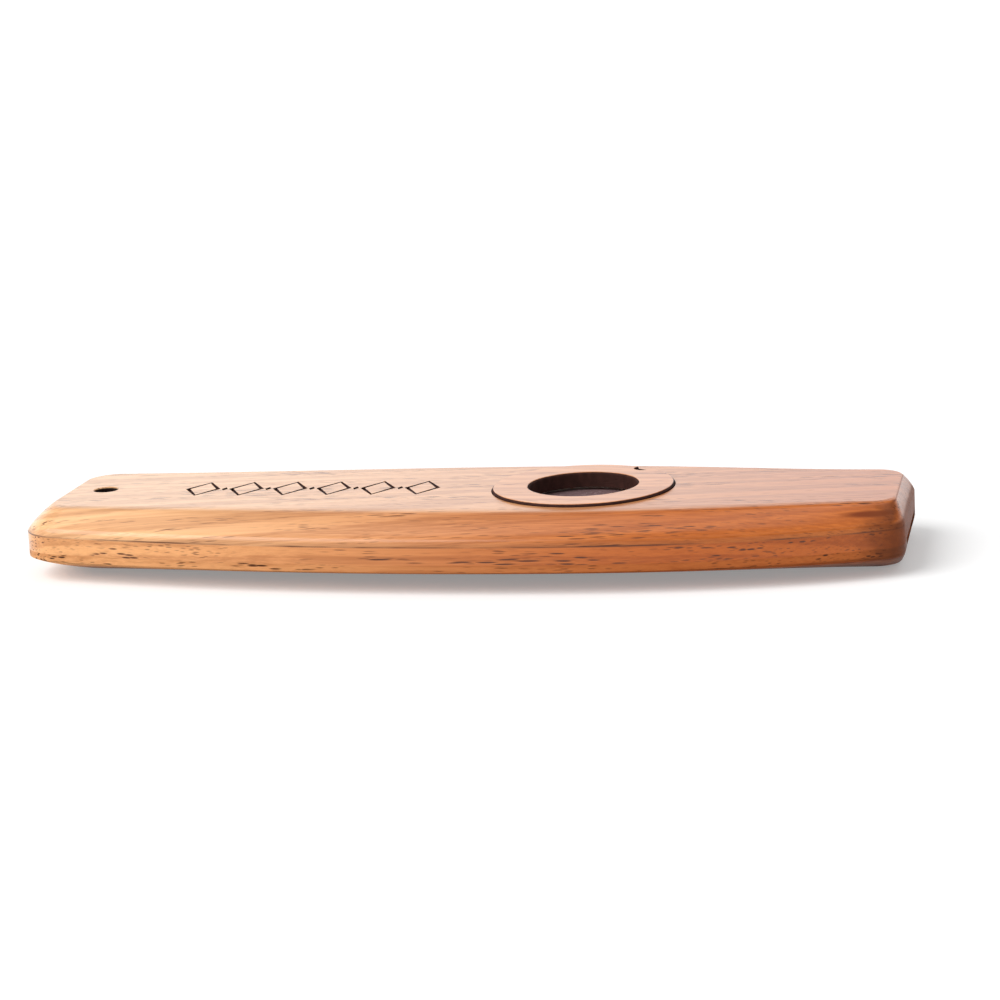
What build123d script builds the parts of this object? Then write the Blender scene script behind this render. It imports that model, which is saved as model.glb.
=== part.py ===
from build123d import *
from math import cos, radians, sin, tan
from typing import NamedTuple
import os

os.makedirs("parts", exist_ok=True)

# A flat wooden kazoo: two boards glued along one seam and shaped like a small boat, with an air
# way milled into the lower board and a stepped well in the upper one. A membrane bonded to a thin
# hoop lies in the well, and a wooden cap ring pushed in over it holds it down.
# Millimetres. +X points from the tail to the mouth end, +Z up. The origin lies on the resting
# surface, under the middle of the body.

# Body heights, above the resting surface
body_length = 125.8
body_thickness = 10.0
seam_height = 4.3               # glue line between the two boards
shoulder_height = 6.8           # where the upright side starts to roll over into the top
bilge_height = 3.3              # where the underside starts to rise to the upright side

# Widest plan outline
mouth_half_width = 12.6
widest_half_width = 23.2
tail_half_width = 15.4
widest_behind_ring = 14.0       # widest place, tailwards of the ring axis
mouth_corner_radius = 3.6
tail_corner_radius = 7.0
inner_tail_corner_radius = 4.2  # of the flat strips on top and underneath
mouth_flare = 26.0              # degrees between the side and the long axis at the mouth
tail_taper = 12.0               # degrees between the side and the long axis at the tail

# Shoulder, its width in plan from the upright side to the flat top
shoulder_at_mouth_end = 1.6
shoulder_at_mouth_corner = 2.6
shoulder_at_ring = 9.6          # beside the ring axis
shoulder_at_tail_corner = 4.6
shoulder_at_tail_end = 3.2
top_flare = 1.0                 # degrees, as for the widest outline
top_taper = 1.0
shoulder_fullness = 1.2         # roll of the shoulder: 1 is a straight bevel, 2 a quarter ellipse

# Bilge, its width in plan from the upright side to the flat strip underneath
bilge_at_mouth_end = 1.2
bilge_at_mouth_corner = 6.0
bilge_at_widest = 14.2
bilge_at_tail_corner = 8.0
bilge_at_tail_end = 6.5
under_flare = 2.0
under_taper = 2.0
bilge_fullness = 1.15           # as for the shoulder
roll_angles = range(0, 96, 6)   # degrees round each roll, one outline at each

# Cap ring and the well that it is pushed into
ring_from_mouth = 46.0          # ring axis to the mouth end
ring_radius = 13.0
ring_bore_radius = 7.76
ring_height = 2.2
ring_proud = 0.42               # how far the ring stands above the flat top
ring_fit = 0.12                 # radial clearance of the push fit
ring_edge_break = 0.25
notch_width = 2.9               # fingernail notch in the rim, to lift the ring out by
notch_depth = 2.0
notch_turn = -35.0              # degrees round the ring, from +Y

# Membrane: a film bonded under a hoop
hoop_clearance = 0.4            # radial, inside the well
hoop_width = 3.4
hoop_height = 0.5
film_margin = 0.4               # film edge inside the hoop edge
film_height = 0.12

# Air way
slot_width = 16.4
slot_height = 2.2               # milled into the lower board, up to the seam
resonance_hole_radius = 8.6
vent_width = 1.6                # groove that lets the breath out at the tail

# Cord hole at the tail
cord_hole_from_tail = 8.3
cord_hole_radius = 1.6
cord_hole_edge_break = 0.3

# Places that follow from the dimensions
mouth_x = body_length / 2
tail_x = -body_length / 2
ring_x = mouth_x - ring_from_mouth
widest_x = ring_x - widest_behind_ring
cord_hole_x = tail_x + cord_hole_from_tail
ring_top = body_thickness + ring_proud
ring_bottom = ring_top - ring_height
hoop_bottom = ring_bottom - hoop_height
seat_height = hoop_bottom - film_height
well_radius = ring_radius + ring_fit
hoop_radius = well_radius - hoop_clearance
slot_floor = seam_height - slot_height
overshoot = 1.0                 # how far a cutter runs past the face that it opens


class Plan(NamedTuple):
    """Plan outline of the body at one height, with the side's angles at its two ends."""
    mouth_end: float
    mouth_half: float
    flare: float
    widest_x: float
    widest_half: float
    tail_end: float
    tail_half: float
    tail_radius: float
    taper: float


side_plan = Plan(
    mouth_x,
    mouth_half_width,
    mouth_flare,
    widest_x,
    widest_half_width,
    tail_x,
    tail_half_width,
    tail_corner_radius,
    tail_taper,
)
top_plan = Plan(
    mouth_x - shoulder_at_mouth_end,
    mouth_half_width - shoulder_at_mouth_corner,
    top_flare,
    ring_x,
    widest_half_width - shoulder_at_ring,
    tail_x + shoulder_at_tail_end,
    tail_half_width - shoulder_at_tail_corner,
    inner_tail_corner_radius,
    top_taper,
)
under_plan = Plan(
    mouth_x - bilge_at_mouth_end,
    mouth_half_width - bilge_at_mouth_corner,
    under_flare,
    widest_x,
    widest_half_width - bilge_at_widest,
    tail_x + bilge_at_tail_end,
    tail_half_width - bilge_at_tail_corner,
    inner_tail_corner_radius,
    under_taper,
)


def level(plan, height):
    """Flat face with a plan's outline: straight ends, round corners and a flared, bellied side."""
    flare = radians(plan.flare)
    taper = radians(plan.taper)
    mouth_run = mouth_corner_radius * tan((radians(90) - flare) / 2)
    tail_run = plan.tail_radius * tan((radians(90) - taper) / 2)
    mouth_corner = (plan.mouth_end, plan.mouth_half - mouth_run)
    side_start = (plan.mouth_end - mouth_run * cos(flare), plan.mouth_half + mouth_run * sin(flare))
    widest = (plan.widest_x, plan.widest_half)
    side_end = (plan.tail_end + tail_run * cos(taper), plan.tail_half + tail_run * sin(taper))
    tail_corner = (plan.tail_end, plan.tail_half - tail_run)
    flare_way = (-cos(flare), sin(flare))
    taper_way = (-cos(taper), -sin(taper))
    half = Curve() + [
        Line((plan.mouth_end, 0), mouth_corner),
        TangentArc(mouth_corner, side_start, tangent=(0, 1)),
        Spline(side_start, widest, side_end, tangents=[flare_way, (-1, 0), taper_way]),
        TangentArc(side_end, tail_corner, tangent=taper_way),
        Line(tail_corner, (plan.tail_end, 0)),
    ]
    return Pos(0, 0, height) * make_face(half + mirror(half, about=Plane.XZ))


def edges_at(solid, height):
    """Edges of a solid that lie flat at one height."""
    return solid.edges().filter_by_position(Axis.Z, height, height)


def upright(radius, bottom, top, x):
    """Cylinder on the long axis of the body, between two heights."""
    stand = (Align.CENTER, Align.CENTER, Align.MIN)
    return Pos(x, 0, bottom) * Cylinder(radius, top - bottom, align=stand)


def edge_break(radius, width, face_height, outward):
    """Conical cutter that breaks the edge of the cord hole where it leaves a face."""
    cone = Cone(radius, radius + width, width, align=(Align.CENTER, Align.CENTER, Align.MAX))
    turn = Rot(0, 0, 0) if outward > 0 else Rot(180, 0, 0)
    return Pos(cord_hole_x, 0, face_height) * turn * cone


def rolled_edge(side_height, plan, plan_height, fullness):
    """Rolled part of the body, from one end of the upright side to a flat strip with a plan's outline."""
    levels = []
    for angle in roll_angles:
        inward = 1 - cos(radians(angle)) ** (2 / fullness)
        onward = sin(radians(angle)) ** (2 / fullness)
        outline = Plan(*[side + (end - side) * inward for side, end in zip(side_plan, plan)])
        levels.append(level(outline, side_height + (plan_height - side_height) * onward))
    return loft(levels, ruled=True)


def upper_board():
    """Deck board: flat top, rolled shoulder, stepped well and cord hole."""
    board = loft([level(side_plan, seam_height), level(side_plan, shoulder_height)], ruled=True)
    board += rolled_edge(shoulder_height, top_plan, body_thickness, shoulder_fullness)
    board -= upright(well_radius, seat_height, ring_top, ring_x)
    board -= upright(resonance_hole_radius, seam_height, seat_height, ring_x)
    board -= upright(cord_hole_radius, seam_height, body_thickness, cord_hole_x)
    board -= edge_break(cord_hole_radius, cord_hole_edge_break, body_thickness, 1)
    return board


def base_board():
    """Hull board: rolled underside, and the slot, chamber and vent of the air way in its glue face."""
    board = loft([level(side_plan, bilge_height), level(side_plan, seam_height)], ruled=True)
    board += rolled_edge(bilge_height, under_plan, 0, bilge_fullness)
    stand = (Align.MIN, Align.CENTER, Align.MIN)
    slot_length = ring_from_mouth + overshoot
    board -= Pos(ring_x, 0, slot_floor) * Box(slot_length, slot_width, slot_height, align=stand)
    board -= upright(resonance_hole_radius, slot_floor, seam_height, ring_x)
    vent_length = ring_x - cord_hole_x
    board -= Pos(cord_hole_x, 0, slot_floor) * Box(vent_length, vent_width, slot_height, align=stand)
    board -= upright(cord_hole_radius, 0, seam_height, cord_hole_x)
    board -= edge_break(cord_hole_radius, cord_hole_edge_break, 0, -1)
    return board


def cap_ring():
    """Laser-cut wooden ring with broken edges and one fingernail notch through its rim."""
    ring = upright(ring_radius, ring_bottom, ring_top, ring_x)
    ring -= upright(ring_bore_radius, ring_bottom, ring_top, ring_x)
    ring = chamfer(edges_at(ring, ring_top), ring_edge_break)
    notch_radius = notch_width / 2
    notch_reach = ring_radius - notch_depth + notch_radius
    notch_centre = Pos(ring_x, 0, ring_bottom) * Rot(0, 0, notch_turn) * Pos(0, notch_reach, 0)
    way_out = Box(notch_width, notch_depth, ring_height, align=(Align.CENTER, Align.MIN, Align.MIN))
    round_end = Cylinder(notch_radius, ring_height, align=(Align.CENTER, Align.CENTER, Align.MIN))
    return ring - notch_centre * (way_out + round_end)


def membrane_hoop():
    """Thin plastic hoop that keeps the film taut."""
    hoop = upright(hoop_radius, hoop_bottom, ring_bottom, ring_x)
    return hoop - upright(hoop_radius - hoop_width, hoop_bottom, ring_bottom, ring_x)


def membrane_film():
    """Vibrating film, bonded to the underside of the hoop."""
    return upright(hoop_radius - film_margin, seat_height, hoop_bottom, ring_x)


pieces = {
    "upper_board": upper_board(),
    "base_board": base_board(),
    "cap_ring": cap_ring(),
    "membrane_hoop": membrane_hoop(),
    "membrane_film": membrane_film(),
}
for name, solid in pieces.items():
    export_step(solid, f"parts/{name}.step")
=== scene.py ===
import math

import bmesh
import bpy
from mathutils import Matrix, Vector


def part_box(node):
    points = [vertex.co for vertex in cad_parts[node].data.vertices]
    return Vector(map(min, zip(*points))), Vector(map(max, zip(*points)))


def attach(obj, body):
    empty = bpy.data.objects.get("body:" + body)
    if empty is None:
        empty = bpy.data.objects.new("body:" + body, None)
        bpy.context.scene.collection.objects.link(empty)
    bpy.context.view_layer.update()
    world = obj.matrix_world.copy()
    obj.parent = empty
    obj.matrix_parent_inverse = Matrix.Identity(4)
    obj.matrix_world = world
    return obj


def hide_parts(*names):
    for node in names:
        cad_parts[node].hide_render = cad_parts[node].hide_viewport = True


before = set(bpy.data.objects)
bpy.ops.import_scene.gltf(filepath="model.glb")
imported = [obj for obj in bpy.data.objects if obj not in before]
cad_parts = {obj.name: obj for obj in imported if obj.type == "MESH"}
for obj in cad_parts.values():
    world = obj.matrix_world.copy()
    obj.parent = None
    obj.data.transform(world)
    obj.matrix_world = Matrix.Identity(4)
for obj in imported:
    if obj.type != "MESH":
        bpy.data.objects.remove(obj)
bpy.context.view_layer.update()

# Base board
# The lower half of the kazoo: a board sanded to a hull, with the air way milled into its glue face.
# Open-pored red-brown hardwood, paler at the tail, with its lacquer rubbed so thin that the pores
# show as dark dashes. Its colours are painted darker than the upper board's, as painted shade on the
# underside. The upper board is glued onto it.
# Base colours are darker than the deck's: the wood's own colour with painted shade on the lower board
SHADED_BASE_TAIL = (0.78, 0.38, 0.16, 1)
SHADED_BASE_MOUTH = (0.44, 0.12, 0.03, 1)
BASE_PORE = (0.06, 0.02, 0.01, 1)
BASE_END = (0.13, 0.036, 0.014, 1)
BASE_SHINE = 0.08
BASE_GRAIN_SHIFT = (0.031, 0.002, 0.0)
BASE_GRAIN_TURN = (0, 0.6, 0.8)
BASE_RELIEF = 0.35
BASE_PORE_DEPTH = 0.00012
END_SOAK = 0.0075
RED_FROM = 0.8  # share of the length from the tail
SHARP_EDGE = math.radians(40)
FLAT_TOP = 0.9999
ROLL_FACING = 0.1
BILGE_HEIGHT = 0.0033
SOFT_TURN = 0.0013


def feed(tree, socket, given):
    """Links a socket to an input, or sets the input to a plain value."""
    if isinstance(given, bpy.types.NodeSocket):
        tree.links.new(given, socket)
    else:
        socket.default_value = given


def calc(tree, operation, *given):
    """Output of a Math node."""
    made = tree.nodes.new("ShaderNodeMath")
    made.operation = operation
    for socket, one in zip(made.inputs, given):
        feed(tree, socket, one)
    return made.outputs[0]


def calc_vector(tree, operation, *given):
    """Output of a Vector Math node with a vector result."""
    made = tree.nodes.new("ShaderNodeVectorMath")
    made.operation = operation
    for socket, one in zip(made.inputs, given):
        feed(tree, socket, one)
    return made.outputs[0]


def length_of(tree, vector):
    """Length of a vector."""
    made = tree.nodes.new("ShaderNodeVectorMath")
    made.operation = "LENGTH"
    feed(tree, made.inputs[0], vector)
    return made.outputs["Value"]


def split(tree, vector):
    """X, Y and Z of a vector, by name."""
    made = tree.nodes.new("ShaderNodeSeparateXYZ")
    feed(tree, made.inputs[0], vector)
    return made.outputs


def ease(tree, given, low, high):
    """0 below low, 1 above high, with a smooth step between them; low may be the larger one."""
    made = tree.nodes.new("ShaderNodeMapRange")
    made.interpolation_type = "SMOOTHSTEP"
    for name, one in zip(("Value", "From Min", "From Max"), (given, low, high)):
        feed(tree, made.inputs[name], one)
    return made.outputs["Result"]


def tint(tree, factor, first, second, how="MIX"):
    """Colour mixed from two."""
    made = tree.nodes.new("ShaderNodeMix")
    made.data_type = "RGBA"
    made.blend_type = how
    for place, one in zip((0, 6, 7), (factor, first, second)):
        feed(tree, made.inputs[place], one)
    return made.outputs[2]


def cloud(tree, place, waves, detail=2.0, roughness=0.5):
    """Noise from 0 to 1, with its waves along X, Y and Z given per unit of the place."""
    made = tree.nodes.new("ShaderNodeTexNoise")
    feed(tree, made.inputs["Vector"], calc_vector(tree, "MULTIPLY", place, waves))
    made.inputs["Scale"].default_value = 1.0
    made.inputs["Detail"].default_value = detail
    made.inputs["Roughness"].default_value = roughness
    return made.outputs[0]


def shader_group(name, inputs, outputs):
    """Empty shader node group, with its input and output nodes."""
    tree = bpy.data.node_groups.new(name, "ShaderNodeTree")
    for title, kind, default in inputs:
        socket = tree.interface.new_socket(title, in_out="INPUT", socket_type="NodeSocket" + kind)
        if default is not None:
            socket.default_value = default
    for title, kind in outputs:
        tree.interface.new_socket(title, in_out="OUTPUT", socket_type="NodeSocket" + kind)
    return tree, tree.nodes.new("NodeGroupInput"), tree.nodes.new("NodeGroupOutput")


def make_wood_grain():
    """Open-pored hardwood in the solid: growth rings, fibre streaks and pores that all run along X."""
    tree, given, result = shader_group(
        "Wood Grain",
        [
            ("Place", "Vector", None),
            ("Ground", "Color", (0.6, 0.3, 0.1, 1)),
            ("Pore", "Color", (0.05, 0.02, 0.01, 1)),
            ("Pore Share", "Float", 1.0),
        ],
        [("Colour", "Color"), ("Roughness", "Float"), ("Height", "Float")],
    )

    # Millimetres from here on, with grain lines that sway by one or two of them along the board
    sway_waves = (0.016, 0.05, 0.05)
    sway_reach = (0, 4, 3)
    millimetres = calc_vector(tree, "MULTIPLY", given.outputs["Place"], (1000, 1000, 1000))
    slow = tree.nodes.new("ShaderNodeTexNoise")
    feed(tree, slow.inputs["Vector"], calc_vector(tree, "MULTIPLY", millimetres, sway_waves))
    slow.inputs["Scale"].default_value = 1.0
    sway = calc_vector(tree, "SUBTRACT", slow.outputs["Color"], (0.5, 0.5, 0.5))
    grain = calc_vector(tree, "ADD", millimetres, calc_vector(tree, "MULTIPLY", sway, sway_reach))

    # Growth rings round a pith that lies below the board and to one side
    above_pith = (0, 21, 34)
    ring_taper = (0.03, 1, 1)
    ring_waves = 0.7
    from_pith = calc_vector(tree, "MULTIPLY", calc_vector(tree, "ADD", grain, above_pith), ring_taper)
    rings = tree.nodes.new("ShaderNodeTexNoise")
    rings.noise_dimensions = "1D"
    feed(tree, rings.inputs["W"], length_of(tree, from_pith))
    rings.inputs["Scale"].default_value = ring_waves
    rings.inputs["Detail"].default_value = 3.0

    # Ground colour, darker and warmer where rings and fibres are dense, with fine hairs over it
    figure_band = (0.62, 0.36)
    figure_least = 0.76
    figure_depth = 0.28
    hair_depth = 0.26
    warmth = {"Red": 1.0, "Green": 1.35, "Blue": 1.6}
    fibre_waves = (0.05, 2.4, 2.4)
    hair_waves = (0.16, 8.0, 8.0)
    fibre = cloud(tree, grain, fibre_waves, 4.0, 0.6)
    hair = cloud(tree, grain, hair_waves, 2.0, 0.6)
    ring_half = calc(tree, "MULTIPLY", rings.outputs[0], 0.5)
    figure = calc(tree, "ADD", ring_half, calc(tree, "MULTIPLY", fibre, 0.5))
    shade = calc(tree, "MULTIPLY_ADD", ease(tree, figure, *figure_band), figure_depth, figure_least)
    shade = calc(tree, "ADD", shade, calc(tree, "MULTIPLY_ADD", hair, hair_depth, -hair_depth / 2))
    warm = tree.nodes.new("ShaderNodeCombineColor")
    for channel, depth in warmth.items():
        feed(tree, warm.inputs[channel], calc(tree, "POWER", shade, depth))
    ground = tint(tree, 1.0, given.outputs["Ground"], warm.outputs[0], "MULTIPLY")

    # Pores: long ones in loose clusters, fine ones all over, both thicker on the ground with a higher share
    share_weight = 0.2
    herd_waves = (0.045, 0.3, 0.42)
    herd_band = (0.69, 0.76)
    sparse_waves = (0.08, 0.7, 0.7)
    fine_band = (0.6, 0.84)
    fine_weight = 0.7

    def dashes(length, width, rim, core):
        cell = tree.nodes.new("ShaderNodeTexVoronoi")
        feed(tree, cell.inputs["Vector"], calc_vector(tree, "DIVIDE", grain, (length, width, width)))
        cell.inputs["Scale"].default_value = 1.0
        return ease(tree, cell.outputs["Distance"], rim, core)

    share = calc(tree, "MULTIPLY", given.outputs["Pore Share"], share_weight)
    herd = cloud(tree, grain, herd_waves)
    herd_share = ease(tree, calc(tree, "ADD", herd, share), *herd_band)
    long_pores = dashes(length=5.6, width=0.4, rim=0.4, core=0.2)
    long_pores = calc(tree, "MULTIPLY", long_pores, herd_share)
    sparse = cloud(tree, grain, sparse_waves)
    fine_share = ease(tree, calc(tree, "ADD", sparse, share), *fine_band)
    fine_pores = dashes(length=3.4, width=0.28, rim=0.38, core=0.16)
    fine_pores = calc(tree, "MULTIPLY", fine_pores, calc(tree, "MULTIPLY", fine_share, fine_weight))
    pores = calc(tree, "MAXIMUM", long_pores, fine_pores)
    feed(tree, result.inputs["Colour"], tint(tree, pores, ground, given.outputs["Pore"]))

    # Rougher on the fibres and in the pores, which lie below the surface
    smooth_wood = 0.3
    fibre_rough = 0.14
    pore_rough = 0.3
    hair_height = 0.12
    rough = calc(tree, "MULTIPLY_ADD", fibre, fibre_rough, smooth_wood)
    feed(tree, result.inputs["Roughness"], calc(tree, "MULTIPLY_ADD", pores, pore_rough, rough))
    height = calc(tree, "MULTIPLY_ADD", pores, -1.0, calc(tree, "MULTIPLY", hair, hair_height))
    feed(tree, result.inputs["Height"], height)
    return tree


def make_end_grain():
    """At the mouth the cut fibres soak up finish and go dark, on the end and a little way along the sides,
    but not on the rolled crest of the end, which is left pale as a painted highlight."""
    tree, given, result = shader_group(
        "End Grain",
        [
            ("Place", "Vector", None),
            ("Normal", "Vector", None),
            ("Colour", "Color", (0.6, 0.3, 0.1, 1)),
            ("End", "Color", (0.15, 0.06, 0.03, 1)),
            ("Mouth X", "Float", 0.06),
            ("Soak", "Float", 0.008),
        ],
        [("Colour", "Color"), ("Mask", "Float")],
    )
    speck_waves = (300, 900, 900)
    speck_depth = 0.36
    speck_tint = 0.3
    end_unevenness = 0.3
    end_facing = (0.86, 0.98)
    side_facing = (0.98, 0.8)
    highlight_crest_forward = (0.45, 0.75)
    highlight_crest_upward = (0.2, 0.6)
    soak_fade = (1.0, 0.2)
    normal = split(tree, given.outputs["Normal"])
    speck = cloud(tree, given.outputs["Place"], speck_waves, 3.0)
    uneven = calc(tree, "MULTIPLY_ADD", speck, speck_depth, -speck_depth / 2)
    turned = ease(tree, calc(tree, "MULTIPLY_ADD", uneven, end_unevenness, normal["X"]), *end_facing)
    along = split(tree, given.outputs["Place"])["X"]
    short_of_end = calc(tree, "SUBTRACT", given.outputs["Mouth X"], along)
    share = calc(tree, "ADD", calc(tree, "DIVIDE", short_of_end, given.outputs["Soak"]), uneven)
    sideways = ease(tree, calc(tree, "ABSOLUTE", normal["Z"]), *side_facing)
    # The rolled crest is kept out of the dark soak: a painted highlight there, with its lacquer kept
    forward = ease(tree, normal["X"], *highlight_crest_forward)
    highlight_crest = calc(tree, "MULTIPLY", forward, ease(tree, normal["Z"], *highlight_crest_upward))
    soak_off_highlight = calc(tree, "MULTIPLY", sideways, calc(tree, "SUBTRACT", 1.0, highlight_crest))
    soaked = calc(tree, "MULTIPLY", ease(tree, share, *soak_fade), soak_off_highlight)
    mask = calc(tree, "MAXIMUM", turned, soaked)
    speckled = calc(tree, "MULTIPLY", speck, speck_tint)
    dark = tint(tree, speckled, given.outputs["End"], given.outputs["Colour"])
    feed(tree, result.inputs["Colour"], tint(tree, mask, given.outputs["Colour"], dark))
    feed(tree, result.inputs["Mask"], mask)
    return tree


wood_grain = make_wood_grain()
end_grain = make_end_grain()
base_low, base_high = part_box("base_board")


def place_group(tree, group, **values):
    """Puts a shader node group in a material and feeds its inputs by name, with _ for a space."""
    made = tree.nodes.new("ShaderNodeGroup")
    made.node_tree = group
    for name, one in values.items():
        feed(tree, made.inputs[name.replace("_", " ")], one)
    return made.outputs


def new_material(name):
    """Material with its Principled BSDF, its node tree and a Texture Coordinate node."""
    material = bpy.data.materials.new(name)
    material.use_nodes = True
    tree = material.node_tree
    return material, tree, tree.nodes["Principled BSDF"], tree.nodes.new("ShaderNodeTexCoord").outputs


def relief(tree, height, strength, distance):
    """Normal from a Bump node over a height."""
    bump = tree.nodes.new("ShaderNodeBump")
    bump.inputs["Strength"].default_value = strength
    bump.inputs["Distance"].default_value = distance
    feed(tree, bump.inputs["Height"], height)
    return bump.outputs["Normal"]


def turned_place(tree, place, shift, turn):
    """Place with a Mapping node that moves a board's grain and turns it by degrees."""
    made = tree.nodes.new("ShaderNodeMapping")
    feed(tree, made.inputs["Vector"], place)
    made.inputs["Location"].default_value = shift
    made.inputs["Rotation"].default_value = [math.radians(angle) for angle in turn]
    return made.outputs[0]


def tail_to_mouth(tree, place, tail_colour, mouth_colour, red_from):
    """Colour that goes from the paler wood of the tail to the redder wood of the mouth end."""
    along = split(tree, place)["X"]
    red_x = base_low.x + (base_high.x - base_low.x) * red_from
    return tint(tree, ease(tree, along, base_low.x, red_x), tail_colour, mouth_colour)


def base_wood():
    """Red-brown wood with hardly any shine, and many pores."""
    material, tree, shader, place = new_material("hull_wood")
    wood = place_group(
        tree,
        wood_grain,
        Place=turned_place(tree, place["Object"], BASE_GRAIN_SHIFT, BASE_GRAIN_TURN),
        Ground=tail_to_mouth(tree, place["Object"], SHADED_BASE_TAIL, SHADED_BASE_MOUTH, RED_FROM),
        Pore=BASE_PORE,
        Pore_Share=1.0,
    )
    ends = place_group(
        tree,
        end_grain,
        Place=place["Object"],
        Normal=place["Normal"],
        Colour=wood["Colour"],
        End=BASE_END,
        Mouth_X=base_high.x,
        Soak=END_SOAK,
    )
    feed(tree, shader.inputs["Base Color"], ends["Colour"])
    feed(tree, shader.inputs["Roughness"], wood["Roughness"])
    feed(tree, shader.inputs["Normal"], relief(tree, wood["Height"], BASE_RELIEF, BASE_PORE_DEPTH))
    shader.inputs["Specular IOR Level"].default_value = BASE_SHINE
    return material


def sanded_copy(node, name):
    """Copy of a CAD node's mesh as an object, with its loose triangles merged."""
    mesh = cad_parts[node].data.copy()
    mesh.name = name
    work = bmesh.new()
    work.from_mesh(mesh)
    bmesh.ops.remove_doubles(work, verts=work.verts, dist=1e-7)
    bmesh.ops.dissolve_degenerate(work, edges=work.edges, dist=1e-7)
    work.to_mesh(mesh)
    work.free()
    mesh.materials.clear()
    made = bpy.data.objects.new(name, mesh)
    bpy.context.scene.collection.objects.link(made)
    return made


def apply_modifiers(thing):
    """Replaces an object's mesh by its evaluated one, and removes its modifiers."""
    shown = thing.evaluated_get(bpy.context.evaluated_depsgraph_get())
    thing.data = bpy.data.meshes.new_from_object(shown)
    thing.modifiers.clear()


def even_shading(thing):
    """Smooth shading over the rolled edges, with sharp edges and the rim of every level face kept crisp."""
    mesh = thing.data
    mesh.polygons.foreach_set("use_smooth", [True] * len(mesh.polygons))
    mesh.set_sharp_from_angle(angle=SHARP_EDGE)
    work = bmesh.new()
    work.from_mesh(mesh)
    bmesh.ops.dissolve_degenerate(work, edges=work.edges, dist=1e-6)
    for edge in work.edges:
        levels = [abs(face.normal.z) > FLAT_TOP for face in edge.link_faces]
        if any(levels) and not all(levels):
            edge.smooth = False
    work.to_mesh(mesh)
    work.free()
    modifier = thing.modifiers.new("even", "WEIGHTED_NORMAL")
    modifier.keep_sharp = True
    apply_modifiers(thing)


def smooth_share(given):
    """Number held between 0 and 1, with a smooth step between them."""
    share = min(max(given, 0.0), 1.0)
    return share * share * (3 - 2 * share)


def soft_turn(thing, start, end):
    """Lets the shading of the upright side run on a little way over a rolled edge, between two heights."""
    mesh = thing.data
    normals = [corner.vector.copy() for corner in mesh.corner_normals]
    for face in mesh.polygons:
        if ROLL_FACING < abs(face.normal.z) < FLAT_TOP:
            for corner in face.loop_indices:
                height = mesh.vertices[mesh.loops[corner].vertex_index].co.z
                share = smooth_share((height - start) / (end - start))
                outward = Vector((normals[corner].x, normals[corner].y, 0)).normalized()
                normals[corner] = outward.lerp(normals[corner], share).normalized()
    mesh.normals_split_custom_set(normals)


hull = sanded_copy("base_board", "hull_board")
hull.data.materials.append(base_wood())
even_shading(hull)
soft_turn(hull, BILGE_HEIGHT, BILGE_HEIGHT - SOFT_TURN)
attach(hull, "body")
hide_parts("base_board")

# Upper board
# The deck: a second board of the same wood, glued on, with rolled sanded shoulders, a stepped round
# well and a hole for a cord. Its grain climbs towards the mouth above a dark line drawn along the crease
# at the foot of the shoulder, and lies level below it, where its colour is painted darker as painted shade.
# It is lacquered satin, and a row of lozenges is burnt into its flat top, which is painted paler than the
# sides as a painted highlight.
DECK_TAIL = (0.95, 0.53, 0.26, 1)
DECK_MOUTH = (0.56, 0.15, 0.026, 1)
DECK_PORE = (0.1, 0.03, 0.012, 1)
DECK_END = (0.17, 0.045, 0.016, 1)
DECK_RELIEF = 0.3
DECK_PORE_DEPTH = 0.0001
# The top turns red more slowly than the sides, so it stays paler: a painted highlight on the top and the
# ring
TOP_HIGHLIGHT_RED_FROM = 1.15  # past the mouth end, so the top never goes fully red
TOP_HIGHLIGHT_FACING = (0.98, 0.999)
WALL_FACING = (0.8, 0.4)
CLIMB_SHIFT = (-0.012, 0.004, 0.003)
CLIMB_TURN = (0, 4.2, -1.2)
LEVEL_SHIFT = (0.045, 0.013, 0.006)
LEVEL_TURN = (0, 0.4, 0.5)
PORES_ABOVE_LINE = 0.8
PORES_BELOW_LINE = 1.0
# Darker, warmer colour for the upright side below the crease line: painted shade
BELOW_LINE_SHADE = (0.88, 0.77, 0.64, 1)
CREASE_HEIGHT = 0.0068
CREASE_LINE_WIDTH = 0.00016
CREASE_LINE_WAVES = (60, 0, 0)
CREASE_LINE_PATCHES = (0.38, 0.6)
STREAK = (0.2, 0.045, 0.015, 1)
STREAK_PLACE = (0.0582, -0.0118, 0.0087)
STREAK_SIZE = (0.006, 0.003, 0.0005)
STREAK_FADE = (1.0, 0.4)
BURNT = (0.012, 0.006, 0.005, 1)
BURNT_EDGE = (0.07, 0.026, 0.02, 1)
BURNT_ROUGH = 0.3
BURNT_RELIEF = 0.5
BURNT_PORE_DEPTH = 0.0002
WELL_CHAR = 0.0006
HOLE_CHAR = 0.0003
END_THIRST = 0.85
CORD_HOLE_X = -0.0546
CORD_HOLE_RADIUS = 0.0016
MARK_COUNT = 11
MARK_PITCH = 0.0033
MARK_LENGTH = 0.0046
MARK_WIDTH = 0.0082
MARK_STROKE = 0.0007
MARK_DEPTH = 0.0004
MARK_MIDDLE = -0.0231
LACQUER_SHINE = 0.08
LACQUER_ROUGHNESS = 0.2
LACQUER_IOR = 1.35
SHOULDER_FACING = 0.3
SOFT_DEPTH = 0.0004

deck_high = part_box("upper_board")[1]
ring_low, ring_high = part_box("cap_ring")
ring_x = (ring_low.x + ring_high.x) / 2
ring_radius = (ring_high.x - ring_low.x) / 2


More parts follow.
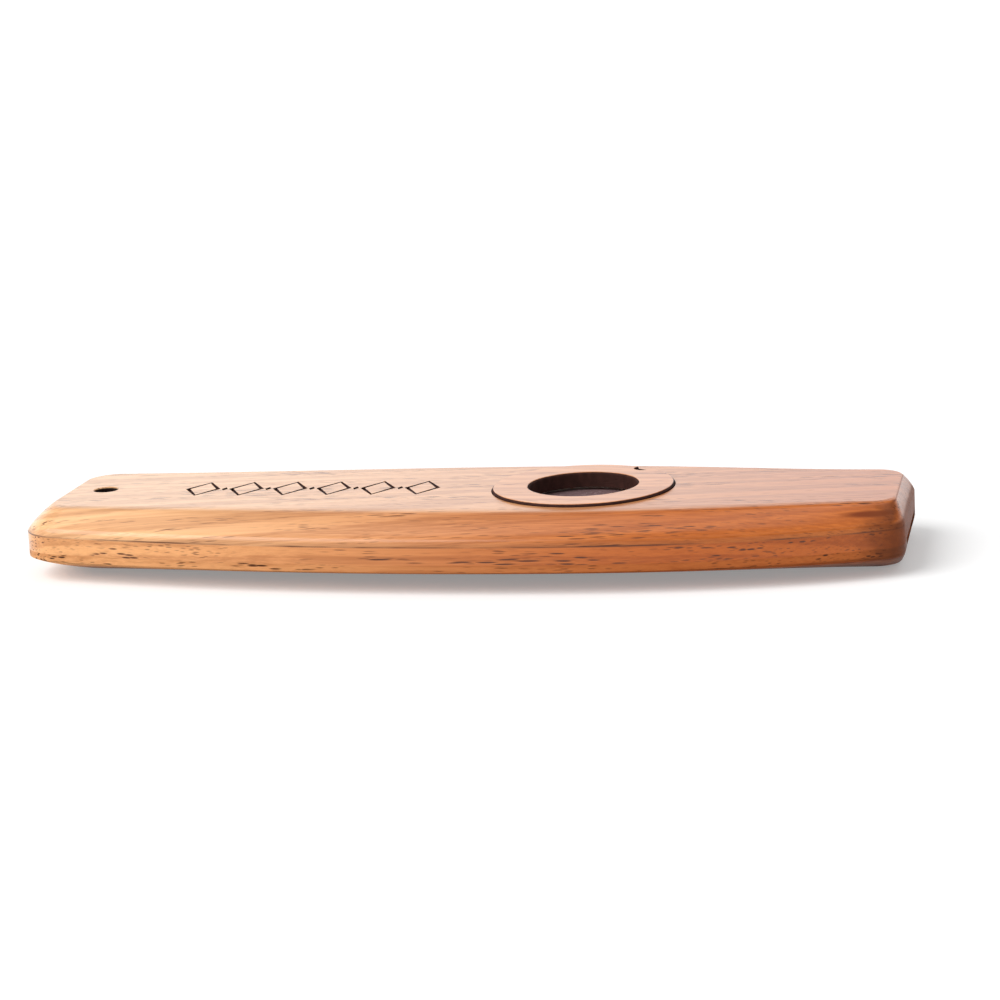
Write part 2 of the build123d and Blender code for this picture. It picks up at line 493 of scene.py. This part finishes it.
def make_burnt_rim():
    """Dark halo that a hot cut leaves beside a round edge, on the wall and a little way into the wood."""
    tree, given, result = shader_group(
        "Burnt Rim",
        [
            ("Place", "Vector", None),
            ("Centre X", "Float", 0.0),
            ("Radius", "Float", 0.01),
            ("Reach", "Float", 0.0003),
        ],
        [("Mask", "Float")],
    )
    full_share = 0.3
    uneven_waves = (420, 420, 420)
    place = split(tree, given.outputs["Place"])
    across = calc(tree, "SUBTRACT", place["X"], given.outputs["Centre X"])
    squares = calc(
        tree,
        "ADD",
        calc(tree, "MULTIPLY", across, across),
        calc(tree, "MULTIPLY", place["Y"], place["Y"]),
    )
    off_edge = calc(tree, "SUBTRACT", calc(tree, "SQRT", squares), given.outputs["Radius"])
    away = calc(tree, "ABSOLUTE", off_edge)
    uneven = cloud(tree, given.outputs["Place"], uneven_waves, 3.0)
    reach = calc(tree, "MULTIPLY", given.outputs["Reach"], calc(tree, "ADD", uneven, 0.5))
    feed(tree, result.inputs["Mask"], ease(tree, away, reach, calc(tree, "MULTIPLY", reach, full_share)))
    return tree


burnt_rim = make_burnt_rim()


def burnt_wood():
    """Floor and walls of a burnt mark: black-brown, matt, with the grain still in it."""
    material, tree, shader, place = new_material("burnt_mark")
    wood = place_group(
        tree,
        wood_grain,
        Place=place["Object"],
        Ground=BURNT_EDGE,
        Pore=BURNT,
        Pore_Share=1.0,
    )
    feed(tree, shader.inputs["Base Color"], wood["Colour"])
    feed(tree, shader.inputs["Roughness"], calc(tree, "ADD", wood["Roughness"], BURNT_ROUGH))
    feed(tree, shader.inputs["Normal"], relief(tree, wood["Height"], BURNT_RELIEF, BURNT_PORE_DEPTH))
    return material


def geometry_tree(name, inputs):
    """Empty Geometry Nodes tree with named number inputs; gives the tree, its input and its output node."""
    tree = bpy.data.node_groups.new(name, "GeometryNodeTree")
    tree.interface.new_socket("Geometry", in_out="INPUT", socket_type="NodeSocketGeometry")
    for title, kind in inputs:
        tree.interface.new_socket(title, in_out="INPUT", socket_type="NodeSocket" + kind)
    tree.interface.new_socket("Geometry", in_out="OUTPUT", socket_type="NodeSocketGeometry")
    return tree, tree.nodes.new("NodeGroupInput"), tree.nodes.new("NodeGroupOutput")


def grown_mesh(name, tree, values):
    """Runs a Geometry Nodes tree with the given inputs, and gives its result as a plain mesh."""
    carrier = bpy.data.objects.new(name, bpy.data.meshes.new(name))
    bpy.context.scene.collection.objects.link(carrier)
    modifier = carrier.modifiers.new("grow", "NODES")
    modifier.node_group = tree
    for item in tree.interface.items_tree:
        if item.in_out == "INPUT" and item.name in values:
            modifier[item.identifier] = values[item.name]
    shown = carrier.evaluated_get(bpy.context.evaluated_depsgraph_get())
    mesh = bpy.data.meshes.new_from_object(shown)
    bpy.data.objects.remove(carrier)
    return mesh


def join_vector(tree, **parts):
    """Vector from its X, Y and Z."""
    made = tree.nodes.new("ShaderNodeCombineXYZ")
    for axis, one in parts.items():
        feed(tree, made.inputs[axis], one)
    return made.outputs[0]


def mark_row(material):
    """Row of cutters along X: outlined lozenges, with a small solid one in each gap."""
    tree, given, result = geometry_tree(
        "Burnt Marks",
        [
            ("Count", "Int"),
            ("Pitch", "Float"),
            ("Length", "Float"),
            ("Width", "Float"),
            ("Stroke", "Float"),
            ("Depth", "Float"),
            ("Middle", "Float"),
            ("Top", "Float"),
        ],
    )
    size = given.outputs
    corners = 4
    small_radius = calc(tree, "MULTIPLY", size["Stroke"], 0.65)
    small_stretch = (1.0, 2.2, 1.0)
    deep = calc(tree, "MULTIPLY", size["Depth"], 2.0)

    def row(count, pitch):
        line = tree.nodes.new("GeometryNodeMeshLine")
        run = calc(tree, "MULTIPLY", calc(tree, "SUBTRACT", count, 1.0), pitch)
        start = calc(tree, "SUBTRACT", size["Middle"], calc(tree, "MULTIPLY", run, 0.5))
        feed(tree, line.inputs["Count"], count)
        feed(tree, line.inputs["Offset"], join_vector(tree, X=pitch))
        feed(tree, line.inputs["Start Location"], join_vector(tree, X=start, Z=size["Top"]))
        return line.outputs["Mesh"]

    def spread(points, shape):
        made = tree.nodes.new("GeometryNodeInstanceOnPoints")
        feed(tree, made.inputs["Points"], points)
        feed(tree, made.inputs["Instance"], shape)
        return made.outputs[0]

    outline = tree.nodes.new("GeometryNodeCurvePrimitiveCircle")
    outline.inputs["Resolution"].default_value = corners
    outline.inputs["Radius"].default_value = 0.5
    lozenge = tree.nodes.new("GeometryNodeTransform")
    feed(tree, lozenge.inputs["Geometry"], outline.outputs[0])
    feed(tree, lozenge.inputs["Scale"], join_vector(tree, X=size["Length"], Y=size["Width"], Z=1.0))
    stroke = tree.nodes.new("GeometryNodeCurvePrimitiveQuadrilateral")
    feed(tree, stroke.inputs["Width"], size["Stroke"])
    feed(tree, stroke.inputs["Height"], deep)
    frame_shape = tree.nodes.new("GeometryNodeCurveToMesh")
    feed(tree, frame_shape.inputs["Curve"], lozenge.outputs[0])
    feed(tree, frame_shape.inputs["Profile Curve"], stroke.outputs[0])
    dot = tree.nodes.new("GeometryNodeMeshCylinder")
    dot.inputs["Vertices"].default_value = corners
    feed(tree, dot.inputs["Radius"], small_radius)
    feed(tree, dot.inputs["Depth"], deep)
    small = tree.nodes.new("GeometryNodeTransform")
    feed(tree, small.inputs["Geometry"], dot.outputs["Mesh"])
    small.inputs["Scale"].default_value = small_stretch

    join = tree.nodes.new("GeometryNodeJoinGeometry")
    wide_pitch = calc(tree, "MULTIPLY", size["Pitch"], 2.0)
    frames = calc(tree, "FLOOR", calc(tree, "MULTIPLY", calc(tree, "ADD", size["Count"], 1.0), 0.5))
    feed(tree, join.inputs[0], spread(row(frames, wide_pitch), frame_shape.outputs[0]))
    dots = calc(tree, "SUBTRACT", frames, 1.0)
    feed(tree, join.inputs[0], spread(row(dots, wide_pitch), small.outputs[0]))
    real = tree.nodes.new("GeometryNodeRealizeInstances")
    feed(tree, real.inputs[0], join.outputs[0])
    paint = tree.nodes.new("GeometryNodeSetMaterial")
    feed(tree, paint.inputs["Geometry"], real.outputs[0])
    paint.inputs["Material"].default_value = material
    feed(tree, result.inputs[0], paint.outputs[0])
    return grown_mesh(
        "mark_row",
        tree,
        {
            "Count": MARK_COUNT,
            "Pitch": MARK_PITCH,
            "Length": MARK_LENGTH,
            "Width": MARK_WIDTH,
            "Stroke": MARK_STROKE,
            "Depth": MARK_DEPTH,
            "Middle": MARK_MIDDLE,
            "Top": deck_high.z,
        },
    )


def lacquer(tree, shader, missing):
    """Satin lacquer on wood, in a thin coat that is missing where a mask says so."""
    shader.inputs["Specular IOR Level"].default_value = LACQUER_SHINE
    shader.inputs["Coat Roughness"].default_value = LACQUER_ROUGHNESS
    shader.inputs["Coat IOR"].default_value = LACQUER_IOR
    feed(tree, shader.inputs["Coat Weight"], calc(tree, "SUBTRACT", 1.0, missing))


def deck_wood():
    """Lacquered wood with a dark line along the shoulder crease, a heartwood streak by the mouth, burnt
    cuts, a painted highlight on the top and painted shade below the line.
    """
    material, tree, shader, place = new_material("deck_wood")
    height = split(tree, place["Object"])["Z"]
    facing = split(tree, place["Normal"])["Z"]
    below = ease(tree, height, CREASE_HEIGHT, CREASE_HEIGHT - CREASE_LINE_WIDTH)
    climbing = turned_place(tree, place["Object"], CLIMB_SHIFT, CLIMB_TURN)
    level = turned_place(tree, place["Object"], LEVEL_SHIFT, LEVEL_TURN)
    side_ground = tail_to_mouth(tree, place["Object"], DECK_TAIL, DECK_MOUTH, RED_FROM)
    # Upward-facing faces take this paler colour than the sides: a painted highlight on the top
    top_highlight_ground = tail_to_mouth(tree, place["Object"], DECK_TAIL, DECK_MOUTH, TOP_HIGHLIGHT_RED_FROM)
    ground = tint(tree, ease(tree, facing, *TOP_HIGHLIGHT_FACING), side_ground, top_highlight_ground)
    # Below the crease line the ground colour is multiplied darker: painted shade on the upright side
    more_pores = PORES_BELOW_LINE - PORES_ABOVE_LINE
    wood = place_group(
        tree,
        wood_grain,
        Place=tint(tree, below, climbing, level),
        Ground=tint(tree, below, ground, BELOW_LINE_SHADE, "MULTIPLY"),
        Pore=DECK_PORE,
        Pore_Share=calc(tree, "MULTIPLY_ADD", below, more_pores, PORES_ABOVE_LINE),
    )
    # Dark line drawn in patches along the crease between the shoulder and the upright side
    off_line = calc(tree, "ABSOLUTE", calc(tree, "SUBTRACT", height, CREASE_HEIGHT))
    patchy = cloud(tree, place["Object"], CREASE_LINE_WAVES, 3.0)
    crease_line = calc(
        tree,
        "MULTIPLY",
        ease(tree, off_line, CREASE_LINE_WIDTH, 0.0),
        ease(tree, patchy, *CREASE_LINE_PATCHES),
    )
    lined = tint(tree, crease_line, wood["Colour"], DECK_PORE)
    from_streak = calc_vector(tree, "SUBTRACT", place["Object"], STREAK_PLACE)
    from_streak = calc_vector(tree, "DIVIDE", from_streak, STREAK_SIZE)
    streak = ease(tree, length_of(tree, from_streak), *STREAK_FADE)
    ends = place_group(
        tree,
        end_grain,
        Place=place["Object"],
        Normal=place["Normal"],
        Colour=tint(tree, streak, lined, STREAK),
        End=DECK_END,
        Mouth_X=deck_high.x,
        Soak=END_SOAK,
    )
    well = place_group(
        tree,
        burnt_rim,
        Place=place["Object"],
        Centre_X=ring_x,
        Radius=ring_radius,
        Reach=WELL_CHAR,
    )
    hole = place_group(
        tree,
        burnt_rim,
        Place=place["Object"],
        Centre_X=CORD_HOLE_X,
        Radius=CORD_HOLE_RADIUS,
        Reach=HOLE_CHAR,
    )
    on_wall = ease(tree, calc(tree, "ABSOLUTE", facing), *WALL_FACING)
    burnt = calc(tree, "MAXIMUM", calc(tree, "MULTIPLY", well["Mask"], on_wall), hole["Mask"])
    thirsty = calc(tree, "MAXIMUM", burnt, calc(tree, "MULTIPLY", ends["Mask"], END_THIRST))
    thirsty = calc(tree, "MAXIMUM", thirsty, streak)
    rough = calc(tree, "MULTIPLY_ADD", thirsty, BURNT_ROUGH, wood["Roughness"])
    feed(tree, shader.inputs["Base Color"], tint(tree, burnt, ends["Colour"], BURNT))
    feed(tree, shader.inputs["Roughness"], rough)
    feed(tree, shader.inputs["Normal"], relief(tree, wood["Height"], DECK_RELIEF, DECK_PORE_DEPTH))
    lacquer(tree, shader, thirsty)
    return material


def soft_rim(thing, top):
    """Shades a flat top as flat, and lets that run on a little over the shoulder, as on a sanded edge."""
    mesh = thing.data
    up = Vector((0, 0, 1))
    normals = [corner.vector.copy() for corner in mesh.corner_normals]
    for face in mesh.polygons:
        if face.normal.z > SHOULDER_FACING:
            for corner in face.loop_indices:
                depth = top - mesh.vertices[mesh.loops[corner].vertex_index].co.z
                share = smooth_share(depth / SOFT_DEPTH)
                normals[corner] = up.lerp(normals[corner], share).normalized()
    mesh.normals_split_custom_set(normals)


deck = sanded_copy("upper_board", "deck_board")
deck.data.materials.append(deck_wood())
cutter = bpy.data.objects.new("mark_cutter", mark_row(burnt_wood()))
bpy.context.scene.collection.objects.link(cutter)
engrave = deck.modifiers.new("engrave", "BOOLEAN")
engrave.object = cutter
engrave.operation = "DIFFERENCE"
engrave.solver = "MANIFOLD"
engrave.material_mode = "TRANSFER"
apply_modifiers(deck)
bpy.data.objects.remove(cutter)
even_shading(deck)
soft_turn(deck, CREASE_HEIGHT, CREASE_HEIGHT + SOFT_TURN)
soft_rim(deck, deck_high.z)
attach(deck, "body")
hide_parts("upper_board")

# Membrane film
# The part that buzzes: a thin plastic film, drawn over the hoop and bonded to its underside.
# Its dark colours are painted shade, as at the bottom of the deep well.
# It is slack enough to show faint wrinkles, which run lengthwise.
# Both film colours are dark as painted shade at the bottom of the well
FILM_SHADE_DARK = (0.15, 0.092, 0.098, 1)
FILM_SHADE_PALE = (0.27, 0.18, 0.185, 1)
FILM_WAVES = (260, 900, 260)
FILM_ROUGHNESS = 0.15
WRINKLE_ROUGHNESS = 0.2
WRINKLE_RELIEF = 0.4
WRINKLE_HEIGHT = 0.0004


def film_plastic():
    """Smooth film with wrinkles, in dark colours painted as the shade at the bottom of the well."""
    material, tree, shader, place = new_material("film_plastic_look")
    wrinkle = cloud(tree, place["Object"], FILM_WAVES, 3.0, 0.6)
    rough = calc(tree, "MULTIPLY_ADD", wrinkle, WRINKLE_ROUGHNESS, FILM_ROUGHNESS)
    feed(tree, shader.inputs["Base Color"], tint(tree, wrinkle, FILM_SHADE_DARK, FILM_SHADE_PALE))
    feed(tree, shader.inputs["Roughness"], rough)
    feed(tree, shader.inputs["Normal"], relief(tree, wrinkle, WRINKLE_RELIEF, WRINKLE_HEIGHT))
    return material


def finish_node(node, material):
    """Gives a CAD node that stays in view its material."""
    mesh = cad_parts[node].data
    mesh.materials.clear()
    mesh.materials.append(material)


finish_node("membrane_film", film_plastic())

# Membrane hoop
# A thin hoop stamped from off-white plastic sheet, with the film bonded under it.
# The ring holds it down in the well, and it lifts out together with the film.
HOOP_SHADE = (0.72, 0.69, 0.6, 1)
HOOP_PALE = (0.8, 0.78, 0.71, 1)
HOOP_WAVES = (900, 900, 900)
HOOP_ROUGHNESS = 0.4
MOTTLE_ROUGHNESS = 0.2
MOTTLE_RELIEF = 0.15
MOTTLE_HEIGHT = 0.0001


def hoop_plastic():
    """Matt off-white plastic with a faint mottle."""
    material, tree, shader, place = new_material("hoop_plastic_look")
    mottle = cloud(tree, place["Object"], HOOP_WAVES, 3.0)
    rough = calc(tree, "MULTIPLY_ADD", mottle, MOTTLE_ROUGHNESS, HOOP_ROUGHNESS)
    feed(tree, shader.inputs["Base Color"], tint(tree, mottle, HOOP_SHADE, HOOP_PALE))
    feed(tree, shader.inputs["Roughness"], rough)
    feed(tree, shader.inputs["Normal"], relief(tree, mottle, MOTTLE_RELIEF, MOTTLE_HEIGHT))
    return material


finish_node("membrane_hoop", hoop_plastic())

# Cap ring
# The wooden ring that holds the membrane down: cut hot from thin board, so that its walls are burnt
# brown-black, with lightly broken edges. It is pushed into the well and stands just proud of the top.
RING_TAIL = (0.9, 0.46, 0.21, 1)
RING_MOUTH = (0.66, 0.22, 0.075, 1)
RING_GRAIN_SHIFT = (0.02, 0.011, 0.002)
RING_GRAIN_TURN = (0, 1, 3)
RING_PORES = 0.5
RING_WALL_FACING = (0.9, 0.75)
RIM_HEIGHT = 0.00004
SOOT_WAVES = (900, 900, 500)


def ring_wood():
    """Lacquered wood on the faces, bare char on the walls."""
    material, tree, shader, place = new_material("ring_wood_look")
    # The ring's colour turns red as slowly as the deck's top: a painted highlight
    wood = place_group(
        tree,
        wood_grain,
        Place=turned_place(tree, place["Object"], RING_GRAIN_SHIFT, RING_GRAIN_TURN),
        Ground=tail_to_mouth(tree, place["Object"], RING_TAIL, RING_MOUTH, TOP_HIGHLIGHT_RED_FROM),
        Pore=DECK_PORE,
        Pore_Share=RING_PORES,
    )
    facing = calc(tree, "ABSOLUTE", split(tree, place["Normal"])["Z"])
    height = split(tree, place["Object"])["Z"]
    below_rim = ease(tree, height, ring_high.z - RIM_HEIGHT, ring_high.z - 2 * RIM_HEIGHT)
    burnt = calc(tree, "MULTIPLY", ease(tree, facing, *RING_WALL_FACING), below_rim)
    soot = cloud(tree, place["Object"], SOOT_WAVES, 3.0)
    char = tint(tree, soot, BURNT, BURNT_EDGE)
    rough = calc(tree, "MULTIPLY_ADD", burnt, BURNT_ROUGH, wood["Roughness"])
    feed(tree, shader.inputs["Base Color"], tint(tree, burnt, wood["Colour"], char))
    feed(tree, shader.inputs["Roughness"], rough)
    feed(tree, shader.inputs["Normal"], relief(tree, wood["Height"], DECK_RELIEF, DECK_PORE_DEPTH))
    lacquer(tree, shader, burnt)
    return material


finish_node("cap_ring", ring_wood())

# Studio
# A plain pale floor in a white room, with even light from all round and a broad soft lamp at the front
# left. In gloss the room is white up to head height and brightest at the left, then dim, with a strip
# light above.
FLOOR_HALF = 3.0
FLOOR_COLOUR = (0.76, 0.76, 0.76, 1)
FLOOR_GLOW = 0.27
WHITE = (1, 1, 1, 1)
ROOM_LIGHT = 0.55
LAMP_FROM = Vector((-0.6, -0.46, 0.7))
LAMP_STRENGTH = 2.6
LAMP_SPREAD = math.radians(50)
WHITE_TO = math.sin(math.radians(16))
WALL_FROM = math.sin(math.radians(36))
WALL_SHADE = 0.97
STRIP_FROM = math.sin(math.radians(42))
STRIP_FULL = math.sin(math.radians(50))
STRIP_TO = math.sin(math.radians(56))
CEILING_FROM = math.sin(math.radians(72))
CEILING_SHADE = 0.6
RIGHT_LIGHT = 1.1
WINDOW_LIGHT = 0.14
WINDOW_FROM = 0.06
WINDOW_TO = -0.4
CAMERA_LENS = 100.54
CAMERA_SENSOR = 36.0
CAMERA_NEAR = 0.01
CAMERA_FAR = 20.0
CAMERA_PLACE = Vector((0.087606, -0.381315, 0.095705))
CAMERA_AIM = Vector((0.001750, 0.013521, 0.005))
CAMERA_ROLL = math.radians(-3.03)


def floor_paint():
    """Matt pale paint that looks white by itself, and keeps the shadow of what stands on it."""
    material = bpy.data.materials.new("floor_paint")
    material.use_nodes = True
    tree = material.node_tree
    tree.nodes.remove(tree.nodes["Principled BSDF"])
    matt = tree.nodes.new("ShaderNodeBsdfDiffuse")
    matt.inputs["Color"].default_value = FLOOR_COLOUR
    glow = tree.nodes.new("ShaderNodeEmission")
    glow.inputs["Color"].default_value = WHITE
    path = tree.nodes.new("ShaderNodeLightPath").outputs
    seen = calc(tree, "MAXIMUM", path["Is Camera Ray"], path["Is Glossy Ray"])
    seen = calc(tree, "MAXIMUM", seen, path["Is Transmission Ray"])
    feed(tree, glow.inputs["Strength"], calc(tree, "MULTIPLY", seen, FLOOR_GLOW))
    both = tree.nodes.new("ShaderNodeAddShader")
    feed(tree, both.inputs[0], matt.outputs[0])
    feed(tree, both.inputs[1], glow.outputs[0])
    feed(tree, tree.nodes["Material Output"].inputs["Surface"], both.outputs[0])
    return material


floor_mesh = bpy.data.meshes.new("floor")
sides = [(-1, -1), (1, -1), (1, 1), (-1, 1)]
corners = [(x * FLOOR_HALF, y * FLOOR_HALF, 0) for x, y in sides]
floor_mesh.from_pydata(corners, [], [(0, 1, 2, 3)])
floor_mesh.materials.append(floor_paint())
floor = bpy.data.objects.new("floor", floor_mesh)
bpy.context.scene.collection.objects.link(floor)

world = bpy.data.worlds.new("studio")
bpy.context.scene.world = world
world.use_nodes = True
room = world.node_tree
path = room.nodes.new("ShaderNodeLightPath").outputs
way = split(room, room.nodes.new("ShaderNodeTexCoord").outputs["Generated"])
at_window = ease(room, way["X"], WINDOW_FROM, WINDOW_TO)
window = calc(room, "MULTIPLY_ADD", at_window, WINDOW_LIGHT, RIGHT_LIGHT)
wall = calc(room, "MULTIPLY", ease(room, way["Z"], WHITE_TO, WALL_FROM), WALL_SHADE)
ceiling = calc(room, "MULTIPLY", ease(room, way["Z"], STRIP_TO, CEILING_FROM), CEILING_SHADE)
strip = calc(
    room,
    "MULTIPLY",
    ease(room, way["Z"], STRIP_FROM, STRIP_FULL),
    calc(room, "SUBTRACT", 1.0, ceiling),
)
in_gloss = calc(room, "MULTIPLY_ADD", window, calc(room, "SUBTRACT", 1.0, wall), strip)
plain = calc(room, "MAXIMUM", path["Is Camera Ray"], path["Is Transmission Ray"])
strength = calc(room, "MULTIPLY_ADD", plain, 1.0 - ROOM_LIGHT, ROOM_LIGHT)
more_in_gloss = calc(room, "SUBTRACT", in_gloss, ROOM_LIGHT)
gloss_share = calc(room, "MULTIPLY", path["Is Glossy Ray"], more_in_gloss)
room.nodes["Background"].inputs["Color"].default_value = WHITE
feed(room, room.nodes["Background"].inputs["Strength"], calc(room, "ADD", strength, gloss_share))

lamp = bpy.data.lights.new("front_lamp", "SUN")
lamp.energy = LAMP_STRENGTH
lamp.angle = LAMP_SPREAD
lamp_holder = bpy.data.objects.new("front_lamp", lamp)
lamp_holder.rotation_euler = LAMP_FROM.to_track_quat("Z", "Y").to_euler()
bpy.context.scene.collection.objects.link(lamp_holder)

camera_data = bpy.data.cameras.new("camera")
camera_data.lens = CAMERA_LENS
camera_data.sensor_width = CAMERA_SENSOR
camera_data.clip_start = CAMERA_NEAR
camera_data.clip_end = CAMERA_FAR
camera = bpy.data.objects.new("camera", camera_data)
look = (CAMERA_AIM - CAMERA_PLACE).to_track_quat("-Z", "Y").to_matrix().to_4x4()
camera.matrix_world = Matrix.Translation(CAMERA_PLACE) @ look @ Matrix.Rotation(CAMERA_ROLL, 4, "Z")
bpy.context.scene.collection.objects.link(camera)
bpy.context.scene.camera = camera
bpy.context.scene.view_settings.view_transform = "Standard"

bpy.context.view_layer.update()
